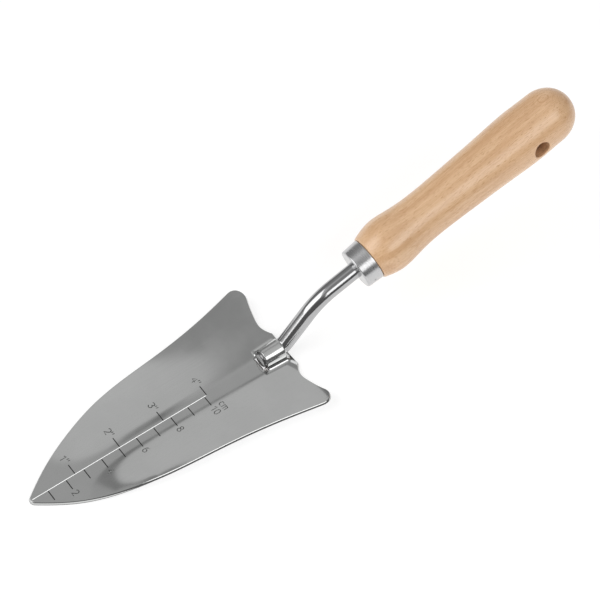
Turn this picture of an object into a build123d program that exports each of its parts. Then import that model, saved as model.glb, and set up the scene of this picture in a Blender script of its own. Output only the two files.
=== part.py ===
from build123d import *
import os
from math import cos, radians, sin, tan

# Hand trowel: a dished sheet blade with a depth scale, a cranked neck rod held by a strap
# pressed up from the blade, a cap ferrule and a turned wooden handle with a hanging hole.
# Everything is drawn with the blade's tip at the origin, +X towards the handle, +Z up and the
# blade's top face along z = 0, and moved at the end onto the surface that the trowel lies on.

# ---- driving dimensions, mm ----
SHEET = 1.8                       # thickness of the blade's sheet
TIP_R = 3.0                       # rounding of the blade's tip
TIP_SLOPE = 36.87                 # degrees, the side's direction where it leaves the tip
BLADE_LENGTH = 149.4              # tip to the straight edge of the rear tab
TAB_HALF = 10.85                  # half width of the rear tab
EAR_R = 6.0                       # rounding of the blade's rear corners
EAR_CENTRE = (143.8, 34.4)
EAR_SLOPE = 13.3                  # degrees, the side's direction where it meets the ear
EAR_END = -19.9                   # degrees round the ear's centre, where its rounding ends
TAB_SLOPE = -53.1                 # degrees, the rear edge's direction where it meets the tab
SIDE = [(18.2, 13.6), (34.0, 20.7), (60.0, 27.5), (90.0, 30.95), (120.0, 35.3)]
REAR = [(146.9, 22.8), (146.3, 17.4)]
DISH_CURVE = 0.0060               # section of the dish: z = curve * y * y
DISH_FROM, DISH_TO = 6.0, 56.0    # where the flat tip turns into the dish
DISH_FADE = 0.0016                # how much flatter the dish is at its rear
FADE_FROM, FADE_TO = 62.0, 148.0
DISH_HALF = 45.0                  # half width of the sheet that the outline is cut from
STATION_MARGIN, STATION_STEPS = 6.0, 14

GROOVE = 0.7                      # width of the scale's engraved lines
GROOVE_DEPTH = 0.25
TICK = 6.0                        # length of a scale mark
CM_MARKS, INCH_MARKS = 10, 4
INCH = 25.4
SCALE_LENGTH = 101.6

ROD_R = 4.2                       # neck rod, 8.4 mm round bar
ROD_Z = 2.4                       # height of its axis in the strap
ROD_FRONT = 133.4
NECK_SLOPE = 47.6                 # degrees, between the blade and the upper bend
LOWER_BEND, UPPER_BEND = 10.0, 33.0
NECK_CORNER = 22.3                # ferrule's face back to where the neck's straights meet, along X
TANG_END = 49.0                   # how far the tang reaches behind the ferrule's face
TANG_GROOVES = 3
TANG_GROOVE_DEPTH, TANG_GROOVE_REACH = 0.6, 1.2
TANG_GROOVE_STEP = 8.0
TANG_CHAMFER = 1.2
ROD_NOSE = 1.6                    # rounding of the rod's front end

STRAP_FROM, STRAP_TO = 134.7, 145.8
STRAP_T = 0.9                     # sheet thickness over the rod, thinned by pressing
STRAP_RISE = 3.0                  # degrees that the strap opens towards the rear
STRAP_FOOT = 9.2                  # half width of the strap's foot
STRAP_FILLET = (1.1, 1.0)         # middle of its soft fillet, out from the wall and up from the foot
SLOT_FROM, SLOT_TO = 132.3, 146.6
SLOT_HALF = 4.4
ROD_GAP = 0.1
BEAD_FROM, BEAD_TOP = 2.2, 0.4    # a weld run reaches from here to the slot's wall, and this high
TACK_AT, TACK_R = (134.3, -4.8, 0.3), 1.2

HANDLE_SLOPE = 17.26              # degrees, handle axis above the blade line
FERRULE_FRONT = (190.47, 33.27)   # x, z of the ferrule's front face centre
FERRULE_LENGTH = 9.0
FERRULE_R1, FERRULE_R2 = 10.75, 11.2
FERRULE_WALL = 1.0
FERRULE_EDGE = 0.8
DIMPLE_S, DIMPLE_ROLL = 4.4, 3.0   # place of the punched dimple, behind the face and round the cap
DIMPLE_R = 0.8
CORNER = 1 - cos(radians(45))     # how far a quarter round's middle lies from its outer corner

WOOD_FROM = 9.25                  # start of the wood, measured from the ferrule's face
WOOD_R = 12.05
WOOD_EDGE = 0.6
WOOD_FLARE = 0.35                 # slope at which the wood leaves its rounded front edge
SPIGOT_GAP = 0.05
HANDLE_SHAPE = [(19.0, 14.25), (32.0, 13.2), (46.0, 12.45), (62.0, 12.85), (90.0, 14.0), (108.0, 14.7)]
END_FROM, END_R = 121.5, 14.4      # start of the rounded end
HANDLE_END = 136.9
END_FULLNESS = 0.57               # 0.55 would be an ellipse, more is fuller
END_FLAT = 1.0                    # small flat where the end was cut off the lathe
BORE_R, BORE_END = 4.25, 54.0     # blind bore for the tang
BORE_FLAT = 0.8                   # radius left flat at the bore's end by the drill's chisel edge
DRILL_SLOPE = 31.0                # degrees, the drill point's cone against its face
HOLE_R, HOLE_S, HOLE_ROLL = 4.5, 108.6, 8.0


def smooth(t):
    """Smooth step from 0 to 1."""
    t = min(max(t, 0.0), 1.0)
    return t * t * (3.0 - 2.0 * t)


def heading(angle):
    """Unit direction at an angle in degrees."""
    return (cos(radians(angle)), sin(radians(angle)))


def on_circle(centre, radius, angle):
    """Point of a circle at an angle in degrees."""
    return (centre[0] + radius * cos(radians(angle)), centre[1] + radius * sin(radians(angle)))


def dish(x):
    """Curvature of the blade's section at x."""
    rise = DISH_CURVE * smooth((x - DISH_FROM) / (DISH_TO - DISH_FROM))
    return rise - DISH_FADE * smooth((x - FADE_FROM) / (FADE_TO - FADE_FROM))


def sheet_section(x):
    """Closed section of the dished sheet across the blade at x: two parabolas and two ends."""
    w, h = DISH_HALF, dish(x) * DISH_HALF**2
    top = Bezier((x, -w, h), (x, 0, -h), (x, w, h))
    low = Bezier((x, w, h - SHEET), (x, 0, -h - SHEET), (x, -w, h - SHEET))
    return Face(Wire([top, Line(top @ 1, low @ 0), low, Line(low @ 1, top @ 0)]))


def blade_outline():
    """Plan of the blade: rounded tip, bowed sides, rounded ears and a straight rear tab."""
    tip_end, ear_start = 90 + TIP_SLOPE, 90 + EAR_SLOPE
    tip_mid = on_circle((TIP_R, 0), TIP_R, (180 + tip_end) / 2)
    tip = on_circle((TIP_R, 0), TIP_R, tip_end)
    ear_in = on_circle(EAR_CENTRE, EAR_R, ear_start)
    ear_mid = on_circle(EAR_CENTRE, EAR_R, (ear_start + EAR_END) / 2)
    ear_out = on_circle(EAR_CENTRE, EAR_R, EAR_END)
    tab = (BLADE_LENGTH, TAB_HALF)
    side_ends = [heading(TIP_SLOPE), heading(EAR_SLOPE)]
    rear_ends = [heading(EAR_END - 90), heading(TAB_SLOPE)]
    half = [
        ThreePointArc((0, 0), tip_mid, tip),
        Spline(tip, *SIDE, ear_in, tangents=side_ends, tangent_scalars=(1, 1)),
        ThreePointArc(ear_in, ear_mid, ear_out),
        Spline(ear_out, *REAR, tab, tangents=rear_ends, tangent_scalars=(1, 1)),
        Line(tab, (BLADE_LENGTH, 0)),
    ]
    half = Curve() + half
    return make_face(half + mirror(half, about=Plane.XZ))


def neck_path(start, end):
    """Centre line of the neck rod from x = start in the strap to end on the handle's axis."""
    fx, fz = FERRULE_FRONT
    up, out = tan(radians(NECK_SLOPE)), tan(radians(HANDLE_SLOPE))
    line_x = fx - NECK_CORNER
    upper = (line_x, 0, fz - (fx - line_x) * out)
    lower = (line_x - (upper[2] - ROD_Z) / up, 0, ROD_Z)
    last = (fx + end * cos(radians(HANDLE_SLOPE)), 0, fz + end * sin(radians(HANDLE_SLOPE)))
    return FilletPolyline((start, 0, ROD_Z), lower, upper, last, radius=[LOWER_BEND, UPPER_BEND])


def round_bar(radius, start, end):
    """Round bar along the neck's centre line."""
    path = neck_path(start, end)
    return sweep(Plane(path @ 0, z_dir=path % 0) * Circle(radius), path=path)


def handle_plane():
    """Frame at the ferrule's face: local Z along the handle, local X up, local Y to -Y."""
    fx, fz = FERRULE_FRONT
    a = radians(HANDLE_SLOPE)
    return Plane(origin=(fx, 0, fz), x_dir=(-sin(a), 0, cos(a)), z_dir=(cos(a), 0, sin(a)))


def turned(*edges):
    """Solid turned from a closed half profile given as (radius, distance) edges."""
    profile = make_face(edges)
    body = revolve(Plane.XZ * profile, Axis.Z)
    return handle_plane().location * body


def make_neck_rod():
    """Cranked round bar, rounded at the front, with a grooved tang that grips in the handle."""
    rod = round_bar(ROD_R, ROD_FRONT, TANG_END)
    rod = fillet(rod.faces().sort_by(Axis.X)[0].edges(), ROD_NOSE)
    rod = chamfer(rod.faces().sort_by(Axis.X)[-1].edges(), TANG_CHAMFER)
    d, reach = TANG_GROOVE_DEPTH, TANG_GROOVE_REACH
    for i in range(TANG_GROOVES):
        s = TANG_END - TANG_GROOVE_STEP * (i + 1)
        notch = [(ROD_R + d, s - reach), (ROD_R - d, s), (ROD_R + d, s + reach)]
        rod -= turned(*Polyline(*notch, close=True).edges())
    return rod


def strap_hump():
    """Hump that the sheet is pressed into over the rod, with its feet running into the sheet."""
    foot = dish(STRAP_FROM) * STRAP_FOOT**2
    wall = ROD_R + ROD_GAP + STRAP_T
    out, up = STRAP_FILLET
    half = [
        Line((0, -SHEET), (STRAP_FOOT, -SHEET)),
        Line((STRAP_FOOT, -SHEET), (STRAP_FOOT, foot)),
        ThreePointArc((STRAP_FOOT, foot), (wall + out, foot + up), (wall, ROD_Z)),
        Line((wall, ROD_Z), (0, ROD_Z)),
    ]
    half = Curve() + half
    feet = make_face(half + mirror(half, about=Plane.YZ))
    length = STRAP_TO - STRAP_FROM
    across = Plane(origin=(STRAP_FROM, 0, 0), x_dir=(0, 1, 0), z_dir=(1, 0, 0))
    feet = extrude(across * feet, length)
    ridge = across * Pos(0, ROD_Z) * Circle(wall)
    ridge = extrude(ridge, length, taper=-STRAP_RISE)
    return feet + split(ridge, bisect_by=Plane.XY, keep=Keep.TOP)


def scale_grooves():
    """Engraved depth scale: centre line, centimetre marks on one side, inch marks on the other."""
    deep = 2 * GROOVE_DEPTH

    def line(x0, x1, y0, y1):
        height = min(dish((x0 + x1) / 2) * ((y0 + y1) / 2)**2, GROOVE_DEPTH)
        return Pos((x0 + x1) / 2, (y0 + y1) / 2, height) * Box(x1 - x0, y1 - y0, deep)

    g = GROOVE / 2
    grooves = [line(TIP_R / 2, SCALE_LENGTH, -g, g)]
    for i in range(1, CM_MARKS + 1):
        grooves.append(line(10 * i - g, 10 * i + g, -TICK, -g))
    for i in range(1, INCH_MARKS + 1):
        grooves.append(line(INCH * i - g, INCH * i + g, g, TICK))
    return grooves


def make_blade():
    """Pressed sheet blade: dished sheet cut to the outline, strap pressed up, slot and scale."""
    step = (BLADE_LENGTH + 2 * STATION_MARGIN) / STATION_STEPS
    stations = [i * step - STATION_MARGIN for i in range(STATION_STEPS + 1)]
    sheet = Solid.make_loft([sheet_section(x).outer_wire() for x in stations])
    blade = sheet & extrude(blade_outline(), DISH_HALF, both=True)
    blade += strap_hump()
    slot = Pos((SLOT_FROM + SLOT_TO) / 2, 0, 0) * Box(SLOT_TO - SLOT_FROM, 2 * SLOT_HALF, 2 * ROD_Z)
    blade -= slot
    blade -= round_bar(ROD_R + ROD_GAP, SLOT_FROM, TANG_END)
    for groove in scale_grooves():
        blade -= groove
    return blade


def make_weld_bead(blade, rod):
    """Weld metal: a run each side of the rod in the slot and a tack at the strap's front foot."""
    beads = []
    length, width, height = STRAP_TO - STRAP_FROM, SLOT_HALF - BEAD_FROM, SHEET + BEAD_TOP
    for side in (-1, 1):
        y = side * (SLOT_HALF - width / 2)
        run = Pos(STRAP_FROM + length / 2, y, BEAD_TOP - height / 2) * Box(length, width, height)
        beads += (run - rod - blade).solids()
    tack = Pos(*TACK_AT) * Sphere(TACK_R) - rod - blade
    top = tack.solids().sort_by(Axis.Z)[-1]
    return Compound(beads + [top])


def make_ferrule():
    """Drawn cap: flat face with a hole for the rod, tapered wall, one punched dimple."""
    hole, wall, edge = ROD_R + ROD_GAP, FERRULE_WALL, FERRULE_EDGE
    r1, r2, end = FERRULE_R1, FERRULE_R2, FERRULE_LENGTH
    profile = [
        Line((hole, 0), (r1 - edge, 0)),
        ThreePointArc((r1 - edge, 0), (r1 - CORNER * edge, CORNER * edge), (r1, edge)),
        Line((r1, edge), (r2, end)),
        Line((r2, end), (r2 - wall, end)),
        Line((r2 - wall, end), (r1 - wall, wall)),
        Line((r1 - wall, wall), (hole, wall)),
        Line((hole, wall), (hole, 0)),
    ]
    cap = turned(*profile)
    a = radians(DIMPLE_ROLL)
    r = r1 + (r2 - r1) * DIMPLE_S / end + DIMPLE_R / 2
    dimple = Pos(-r * sin(a), r * cos(a), DIMPLE_S) * Sphere(DIMPLE_R)
    return cap - handle_plane().location * dimple


def make_handle():
    """Turned wooden handle: spigot in the ferrule, blind bore for the tang, hanging hole."""
    start = FERRULE_WALL + SPIGOT_GAP
    r1, r2 = FERRULE_R1 - start, FERRULE_R2 - start
    shoulder = (WOOD_R - WOOD_EDGE, WOOD_FROM)
    neck = (WOOD_R, WOOD_FROM + WOOD_EDGE)
    shape = [(r, s) for s, r in HANDLE_SHAPE]
    widest = (END_R, END_FROM)
    tip, full = (END_FLAT, HANDLE_END), END_FULLNESS
    end_pull = END_FROM + full * (HANDLE_END - END_FROM)
    rounding = (WOOD_R - CORNER * WOOD_EDGE, WOOD_FROM + CORNER * WOOD_EDGE)
    body_ends = [(WOOD_FLARE, 1), (0, 1)]
    profile = [
        Line((0, start), (r1, start)),
        Line((r1, start), (r2, WOOD_FROM)),
        Line((r2, WOOD_FROM), shoulder),
        ThreePointArc(shoulder, rounding, neck),
        Spline(neck, *shape, widest, tangents=body_ends, tangent_scalars=(1, 1)),
        Bezier(widest, (END_R, end_pull), (full * END_R, HANDLE_END), tip),
        Line(tip, (0, HANDLE_END)),
        Line((0, HANDLE_END), (0, start)),
    ]
    wood = turned(*profile)
    drill_point = BORE_END - (BORE_R - BORE_FLAT) * tan(radians(DRILL_SLOPE))
    bore = [(0, 0), (BORE_R, 0), (BORE_R, drill_point), (BORE_FLAT, BORE_END), (0, BORE_END)]
    wood -= turned(*Polyline(*bore, close=True).edges())
    a = radians(HOLE_ROLL)
    across = Plane(origin=(0, 0, HOLE_S), x_dir=(0, 0, 1), z_dir=(sin(a), cos(a), 0))
    hole = handle_plane().location * across.location * Cylinder(HOLE_R, 4 * END_R)
    wood -= hole
    return wood


def main():
    """Make every piece, move the trowel so that it lies on z = 0, and write one file per piece."""
    parts = {"blade": make_blade(), "neck_rod": make_neck_rod()}
    parts["weld_bead"] = make_weld_bead(parts["blade"], parts["neck_rod"])
    parts["ferrule"] = make_ferrule()
    parts["handle"] = make_handle()
    whole = Compound([solid for part in parts.values() for solid in part.solids()])
    box = whole.bounding_box()
    place = Pos(-(box.min.X + box.max.X) / 2, 0, SHEET)
    os.makedirs("parts", exist_ok=True)
    for name, part in parts.items():
        export_step(place * part, "parts/" + name + ".step")
        print(name, round(part.volume, 1), "mm3", part.is_valid, len(part.solids()), "solids")
    print("tip at x =", round(place.position.X, 3))


main()
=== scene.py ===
from math import cos, degrees, hypot, pi, radians, sin, sqrt, tan

import bmesh
import bpy
import numpy as np
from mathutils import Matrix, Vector, geometry, noise


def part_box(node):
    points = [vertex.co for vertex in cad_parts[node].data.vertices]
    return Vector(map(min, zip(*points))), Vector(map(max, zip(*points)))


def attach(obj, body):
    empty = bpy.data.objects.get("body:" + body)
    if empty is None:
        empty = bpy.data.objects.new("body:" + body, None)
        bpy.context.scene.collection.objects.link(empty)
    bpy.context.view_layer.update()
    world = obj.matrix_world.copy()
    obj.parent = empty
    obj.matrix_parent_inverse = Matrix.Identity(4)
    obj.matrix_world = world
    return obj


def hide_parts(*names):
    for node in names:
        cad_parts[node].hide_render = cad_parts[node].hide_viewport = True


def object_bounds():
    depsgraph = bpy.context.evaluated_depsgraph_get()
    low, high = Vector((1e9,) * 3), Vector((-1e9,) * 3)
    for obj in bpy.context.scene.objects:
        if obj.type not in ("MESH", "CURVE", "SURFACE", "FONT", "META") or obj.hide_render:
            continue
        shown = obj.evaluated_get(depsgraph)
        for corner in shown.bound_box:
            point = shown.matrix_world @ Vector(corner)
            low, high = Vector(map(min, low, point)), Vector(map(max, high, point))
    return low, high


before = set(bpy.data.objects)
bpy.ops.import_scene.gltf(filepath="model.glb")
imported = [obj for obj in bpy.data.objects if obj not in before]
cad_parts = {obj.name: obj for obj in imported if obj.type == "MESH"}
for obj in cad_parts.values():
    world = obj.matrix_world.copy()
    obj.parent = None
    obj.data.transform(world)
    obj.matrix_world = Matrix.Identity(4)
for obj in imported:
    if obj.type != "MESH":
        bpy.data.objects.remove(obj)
cad_low, cad_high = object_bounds()

# Shapes are drawn in millimetres in the trowel's own drawing frame: the blade's tip at the origin,
# +X towards the handle, +Z up, the sheet's top face along z = 0. place() moves them to the frame.
SHEET = 1.8
TIP_X = cad_low.x * 1000          # the tip is the trowel's foremost point
BASE_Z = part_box("blade")[0].z * 1000 + SHEET

# blade
TIP_R, TIP_SLOPE = 3.0, 36.87
BLADE_LENGTH, TAB_HALF, TAB_SLOPE = 149.4, 10.85, -53.1
EAR_R, EAR_CENTRE, EAR_SLOPE, EAR_END = 6.0, (143.8, 34.4), 13.3, -19.9
SIDE = [(18.2, 13.6), (34.0, 20.7), (60.0, 27.5), (90.0, 30.95), (120.0, 35.3)]
REAR = [(146.9, 22.8), (146.3, 17.4)]
DISH_CURVE, DISH_FROM, DISH_TO = 0.0060, 6.0, 56.0
DISH_FADE, FADE_FROM, FADE_TO = 0.0016, 62.0, 148.0
# ground bevel of the sheet's upper edge and rounding of its lower edge: inset, drop, slope in degrees
RIM = [(0.80, 0.0, 0), (0.74, 0.015, 18), (0.66, 0.06, 38), (0.58, 0.14, 48), (0.50, 0.24, 54),
       (0.40, 0.41, 62), (0.25, 0.74, 68), (0.10, 1.12, 72), (0.0, 1.38, 84), (0.0, 1.48, 90),
       (0.12, 1.68, 130), (0.4, 1.8, 180)]
RIM_CUT_SHADE = 8                       # the rim is ground and polished down to here; below it is cut and dull, and painted dark as the shade under the sheet's edge
OUTLINE_STEP = 0.8
GRID = 1.5                        # spacing of the sheet's mesh

# engraved depth scale: widths and depths of its V grooves, the centre line's with one steep wall
LINE_W, LINE_D, LINE_STEEP = 0.38, 0.20, 0.12
TICK_W, TICK_D, TICK = 0.52, 0.42, 6.0
GLYPH_W, GLYPH_D = 0.44, 0.235
GLYPH_H, GLYPH_STEP = 3.5, 0.72   # height of the numbers and advance from one to the next
GLYPH_BASE = 1.7                  # how far a number's base lies in front of its mark
CM_MARKS, INCH_MARKS = 10, 4
INCH, SCALE_LENGTH = 25.4, 101.6

# neck rod, strap, weld
ROD_R, ROD_Z, ROD_FRONT, ROD_NOSE, ROD_GAP = 4.2, 2.4, 133.4, 1.6, 0.1
NECK_SLOPE, LOWER_BEND, UPPER_BEND, NECK_CORNER = 47.6, 10.0, 33.0, 22.3
TANG_END, TANG_CHAMFER = 49.0, 1.2
TANG_GROOVES, TANG_GROOVE_STEP, TANG_GROOVE_DEPTH, TANG_GROOVE_REACH = 3, 8.0, 0.6, 1.2
STRAP_FROM, STRAP_TO, STRAP_T, STRAP_RISE = 134.7, 145.8, 0.9, 3.0
STRAP_EDGE = 0.3
FOOT_REACH, FOOT_LIFT = (2.4, 3.6), (2.0, 1.9)       # pull-up of the sheet beside it, -Y and +Y side
SLOT_FROM, SLOT_TO, SLOT_HALF = 132.3, 146.6, 4.4
TACK_AT, TACK_R, TACK_FLAT = (134.3, -4.8, 0.3), 1.2, 0.8
BEAD_Y, BEAD_Z, BEAD_HALF = 3.4, -0.7, (1.1, 1.0)    # weld runs beside the rod, and one in front of it that also stands in for the shade in the slot's gap
FRONT_BEAD_Z, FRONT_BEAD_HALF = -1.1, (0.7, 0.6)
RIPPLE, RIPPLE_DEPTH, BEAD_END = 0.75, 0.09, 0.03

# ferrule and handle
HANDLE_SLOPE = 17.26
FERRULE_FRONT = (190.47, 33.27)
FERRULE_LENGTH, FERRULE_R1, FERRULE_R2 = 9.0, 10.75, 11.2
FERRULE_WALL, FERRULE_EDGE = 1.0, 0.8
DIMPLE_S, DIMPLE_ROLL, DIMPLE_R, DIMPLE_DEPTH, DIMPLE_RIM = 4.4, 3.0, 0.8, 0.55, 0.03
WOOD_FROM, WOOD_R, WOOD_EDGE, WOOD_FLARE = 9.25, 12.05, 0.6, 0.35
HANDLE_SHAPE = [(19.0, 14.25), (32.0, 13.2), (46.0, 12.45), (62.0, 12.85), (90.0, 14.0), (108.0, 14.7)]
END_FROM, END_R, HANDLE_END, END_FULLNESS, END_FLAT = 121.5, 14.4, 136.9, 0.57, 1.0
BORE_R, BORE_END, BORE_FLAT, DRILL_POINT, SPIGOT_GAP = 4.25, 54.0, 0.8, 2.1, 0.05
HOLE_R, HOLE_S, HOLE_ROLL, HOLE_EDGE = 4.5, 108.6, 8.0, 0.5

# camera, in the drawing frame, mm and degrees
CAMERA_AT, CAMERA_TURN, LENS = (-204.373, -440.911, 852.346), (34.858, -1.886, -36.616), 123.683

# studio: softboxes (bearing, elevation, distance m, width m, height m, radiance), and surroundings
# placed by direction, in ahead = x / z and aside = y / z; bands are (from, to, softness)
KEY = (-82, 47, 1.0, 0.85, 0.5, 1.9)
FILL = (162, 41, 2.0, 1.75, 1.5, 1.8)
WALL, WALL_TOP, HALO, BESIDE = (0.15, 0.27), 0.14, 0.36, 0.44
PANEL_EDGE, PANEL_FRONT, FRONT_SLANT, PANEL_SIDE, PANEL = 0.642, 0.432, 0.28, (72.2, 78.4), 0.62
SEAM_TOP, SEAM_FRONT, SEAM_SIDE, SEAM = 0.022, 0.072, 0.013, 0.27
CEILING, CEILING_NEAR, REAR_CEILING = 0.62, 0.68, 0.47
DIM, DIM_EDGE, GAP = 0.35, (0.343, 0.362), 0.24
BESIDE_AT, DIM_ASIDE, REAR_ASIDE = (70, 92, 4), (-0.2, 0.42, 0.05), (0.48, 0.70, 0.07)
GAP_AHEAD, GAP_ASIDE = (0.303, 0.322, 0.018), (0.42, 0.455, 0.045)
FLOOR, FLOOR_GLOW = (0.50, 0.50, 0.50), 0.67
CLOUD = 0.04                      # how much darker the steel's faint clouds are
# the third colour is for the cross hole's wall: wood painted dark brown as the shade inside the hole
WOOD_LIGHT, WOOD_DARK, BORE_SHADE_WOOD = (0.85, 0.555, 0.325), (0.73, 0.44, 0.235), (0.34, 0.20, 0.11)
KNOT_AT, KNOT_STRETCH, KNOT_RINGS, KNOT_WOBBLE, KNOT_FADE = (124.0, 1.8), 1.5, 3.4, 3.0, (2.6, 4.6)
END_GRAIN_FROM = 126.5            # the handle's end grain darkens from here


# ---------------- small helpers
def smooth(t):
    """Smooth step from 0 to 1, for numbers or arrays."""
    t = np.clip(t, 0.0, 1.0)
    return t * t * (3.0 - 2.0 * t)


def place(points):
    """Drawing frame in mm to the row's frame in metres."""
    points = np.asarray(points, float)
    return (points + np.array([TIP_X, 0.0, BASE_Z])) / 1000.0


def handle_place(points):
    """Points (up, side, along) on the handle's axes to the drawing frame."""
    p = np.asarray(points, float)
    a = radians(HANDLE_SLOPE)
    up, along = np.array([-sin(a), 0, cos(a)]), np.array([cos(a), 0, sin(a)])
    origin = np.array([FERRULE_FRONT[0], 0, FERRULE_FRONT[1]])
    return origin + p[:, :1] * up + p[:, 1:2] * np.array([0, -1, 0]) + p[:, 2:3] * along


def arc(centre, radius, start, end, steps):
    """Points of an arc, angles in degrees."""
    a = np.radians(np.linspace(start, end, steps + 1))
    return np.column_stack([centre[0] + radius * np.cos(a), centre[1] + radius * np.sin(a)])


def heading(angle):
    return np.array([cos(radians(angle)), sin(radians(angle))])


def spline(points, start_dir, end_dir, step):
    """Points of a smooth curve through the given points with set directions at its ends."""
    p = np.asarray(points, float)
    h = np.hypot(*np.diff(p, axis=0).T)
    n = len(p)
    a, b = np.zeros((n, n)), np.zeros((n, 2))
    a[0, 0] = a[-1, -1] = 1
    b[0], b[-1] = start_dir, end_dir
    for i in range(1, n - 1):
        a[i, i - 1:i + 2] = h[i], 2 * (h[i - 1] + h[i]), h[i - 1]
        b[i] = 3 * (h[i] * (p[i] - p[i - 1]) / h[i - 1] + h[i - 1] * (p[i + 1] - p[i]) / h[i])
    m = np.linalg.solve(a, b)
    out = [p[:1]]
    for i in range(n - 1):
        t = np.linspace(0, 1, max(2, int(h[i] / step)) + 1)[1:, None]
        out.append((2 * t**3 - 3 * t**2 + 1) * p[i] + (t**3 - 2 * t**2 + t) * h[i] * m[i]
                   + (3 * t**2 - 2 * t**3) * p[i + 1] + (t**3 - t**2) * h[i] * m[i + 1])
    return np.vstack(out)


def add_piece(name, points, faces, material, node, sharp=None, normals=None):
    """A mesh piece from drawing-frame points, riding on the root body in place of a CAD node."""
    mesh = bpy.data.meshes.new(name)
    mesh.from_pydata(place(points).tolist(), [], faces)
    mesh.validate()
    mesh.shade_smooth()
    if sharp:
        mesh.set_sharp_from_angle(angle=radians(sharp))
    if normals is not None:
        mesh.normals_split_custom_set(normals)
    mesh.materials.append(material)
    piece = bpy.data.objects.new(name, mesh)
    bpy.context.scene.collection.objects.link(piece)
    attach(piece, "root")
    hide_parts(node)
    return piece


def paint(piece, material, faces):
    """Another material for some of a piece's faces, given by their numbers."""
    piece.data.materials.append(material)
    for i in faces:
        piece.data.polygons[i].material_index = len(piece.data.materials) - 1


def face_normal(points, face):
    """Unit normal of a face."""
    p = points[list(face[:3])]
    across = np.cross(p[1] - p[0], p[2] - p[0])
    return across / max(np.linalg.norm(across), 1e-9)


def ring_faces(first, second, count, closed=True):
    """Quads between two rings of vertices given by their first index."""
    last = count if closed else count - 1
    return [(first + i, first + (i + 1) % count, second + (i + 1) % count, second + i) for i in range(last)]


# ---------------- blade
def dish(x):
    """Curvature of the blade's section at x."""
    rise = DISH_CURVE * smooth((x - DISH_FROM) / (DISH_TO - DISH_FROM))
    return rise - DISH_FADE * smooth((x - FADE_FROM) / (FADE_TO - FADE_FROM))


def blade_outline():
    """Closed plan of the blade, counter-clockwise, starting at the tip."""
    tip = arc((TIP_R, 0), TIP_R, 180, 90 + TIP_SLOPE, 6)
    ear = arc(EAR_CENTRE, EAR_R, 90 + EAR_SLOPE, EAR_END, 14)
    side = spline([tip[-1], *SIDE, ear[0]], heading(TIP_SLOPE), heading(EAR_SLOPE), OUTLINE_STEP)
    tab = (BLADE_LENGTH, TAB_HALF)
    rear = spline([ear[-1], *REAR, tab], heading(EAR_END - 90), heading(TAB_SLOPE), OUTLINE_STEP)
    edge = np.column_stack([np.full(14, BLADE_LENGTH), np.linspace(TAB_HALF, 0, 14)])
    half = np.vstack([tip, side[1:], ear[1:], rear[1:], edge[1:]])
    other = half[1:-1][::-1] * [1, -1]
    return np.vstack([half, other])[::-1]


def inset(loop, distance):
    """A closed counter-clockwise loop moved inwards."""
    before, after = np.roll(loop, 1, axis=0), np.roll(loop, -1, axis=0)
    along = after - before
    along /= np.hypot(*along.T)[:, None]
    return loop + distance * np.column_stack([-along[:, 1], along[:, 0]])


def strap_radius(x):
    """Outer radius of the strap, which opens a little towards the rear."""
    return ROD_R + ROD_GAP + STRAP_T + np.clip(x - STRAP_FROM, 0, None) * tan(radians(STRAP_RISE))


def strap_foot(x, y):
    """How far the sheet is pulled up beside the strap: broad on one side, tight on the other."""
    reach = np.where(y > 0, FOOT_REACH[1], FOOT_REACH[0])
    lift = np.where(y > 0, FOOT_LIFT[1], FOOT_LIFT[0])
    away = np.clip((np.abs(y) - strap_radius(x) + 0.3) / reach, 0, 1)
    along = smooth((x - STRAP_FROM + 1.0) / 2.2) * (1 - smooth((x - STRAP_TO + 0.2) / 2.2))
    return lift * (1 - away)**2.4 * along


def sheet_top(x, y):
    return dish(x) * y * y + strap_foot(x, y)


def surface_normal(x, y):
    """Upward normal of the sheet's top face."""
    h = 0.02
    nx = (sheet_top(x - h, y) - sheet_top(x + h, y)) / (2 * h)
    ny = (sheet_top(x, y - h) - sheet_top(x, y + h)) / (2 * h)
    n = np.column_stack([nx, ny, np.ones_like(nx)])
    return n / np.linalg.norm(n, axis=1)[:, None]


def oval(cx, cy, rx, ry, start, end, steps):
    a = np.radians(np.linspace(start, end, steps + 1))
    return list(zip(cx + rx * np.cos(a), cy + ry * np.sin(a)))


GLYPHS = {
    "1": [[(0.08, 0.76), (0.34, 1.0), (0.34, 0.0)]],
    "2": [oval(0.3, 0.72, 0.26, 0.28, 160, -35, 7) + [(0.03, 0.0), (0.58, 0.0)]],
    "3": [oval(0.28, 0.76, 0.24, 0.24, 150, -90, 7) + oval(0.28, 0.27, 0.28, 0.27, 90, -150, 8)[1:]],
    "4": [[(0.42, 0.0), (0.42, 1.0), (0.0, 0.3), (0.6, 0.3)]],
    "6": [oval(0.3, 0.3, 0.27, 0.3, 0, 360, 12), [(0.03, 0.32), (0.1, 0.7), (0.28, 0.92), (0.45, 1.0)]],
    "8": [oval(0.3, 0.27, 0.28, 0.27, 0, 360, 12), oval(0.3, 0.77, 0.23, 0.23, 0, 360, 10)],
    "0": [oval(0.3, 0.5, 0.28, 0.5, 0, 360, 14)],
    "c": [oval(0.3, 0.36, 0.26, 0.36, 50, 310, 8)],
    "m": [[(0.0, 0.0), (0.0, 0.7)], oval(0.17, 0.5, 0.17, 0.2, 170, 0, 4) + [(0.34, 0.0)],
          oval(0.51, 0.5, 0.17, 0.2, 180, 0, 4) + [(0.68, 0.0)]],
    "inch": [[(0.06, 1.06), (0.0, 0.8)], [(0.36, 1.06), (0.3, 0.8)]],
}


def write(glyphs, x, y):
    """Strokes of a row of glyphs that reads towards -Y, its base at x, starting at y."""
    return [([(x + v * GLYPH_H, y - (u + i * GLYPH_STEP) * GLYPH_H) for u, v in line], GLYPH_W, GLYPH_D)
            for i, glyph in enumerate(glyphs) for line in GLYPHS[glyph]]


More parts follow.
